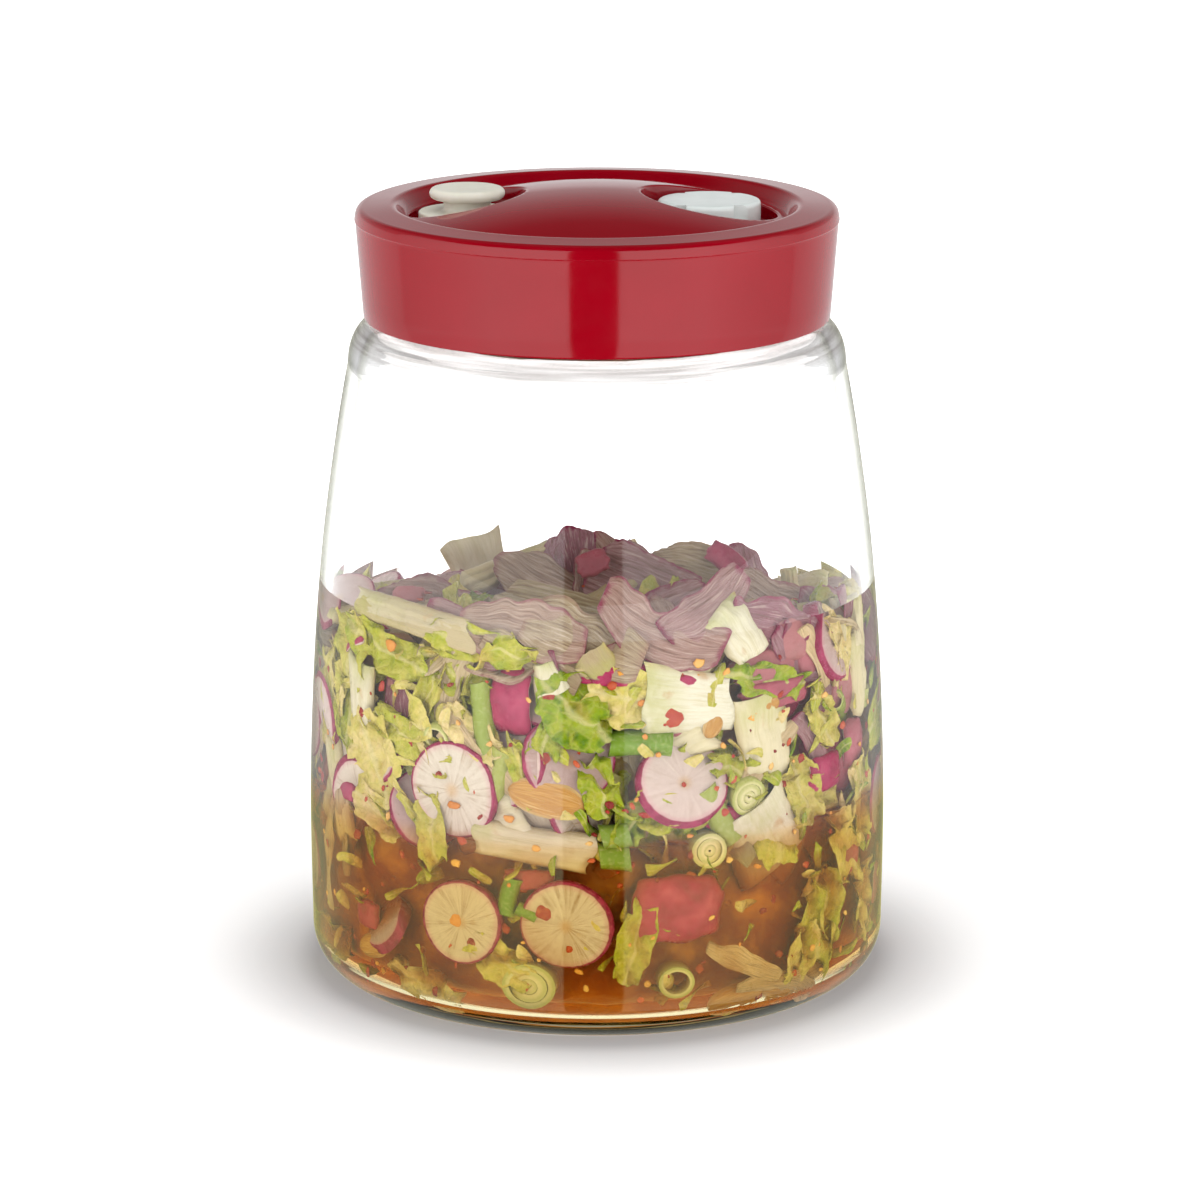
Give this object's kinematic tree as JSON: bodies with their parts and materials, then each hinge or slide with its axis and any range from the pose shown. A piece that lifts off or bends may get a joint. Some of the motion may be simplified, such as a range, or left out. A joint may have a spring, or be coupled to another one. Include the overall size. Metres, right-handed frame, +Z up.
{
  "type": "fermentation jar",
  "caption": "Tapered glass fermentation jar with a domed red screw lid, press button and valve cap, part filled with cut pickled vegetables.",
  "frame": {"origin": "centre of the foot, on the surface the jar stands on", "axes": "+Z up the jar's axis; -Y towards the viewer of the picture; +X to the viewer's right, so the press button is at -X and the valve cap at +X"},
  "size_m": [0.137, 0.137, 0.1865],
  "materials": {
    "glass_jar": "clear, smooth",
    "lid_cap": "glossy red",
    "vent_button": "satin cream silicone",
    "valve_cap": "milky white",
    "pickle_heap": "wet vegetables"
  },
  "bodies": {
    "root": {"glass_jar": "glass_jar", "lid_cap": "lid_cap", "vent_button": "vent_button", "valve_cap": "valve_cap", "pickle_heap": "pickle_heap"}
  },
  "joints": []
}
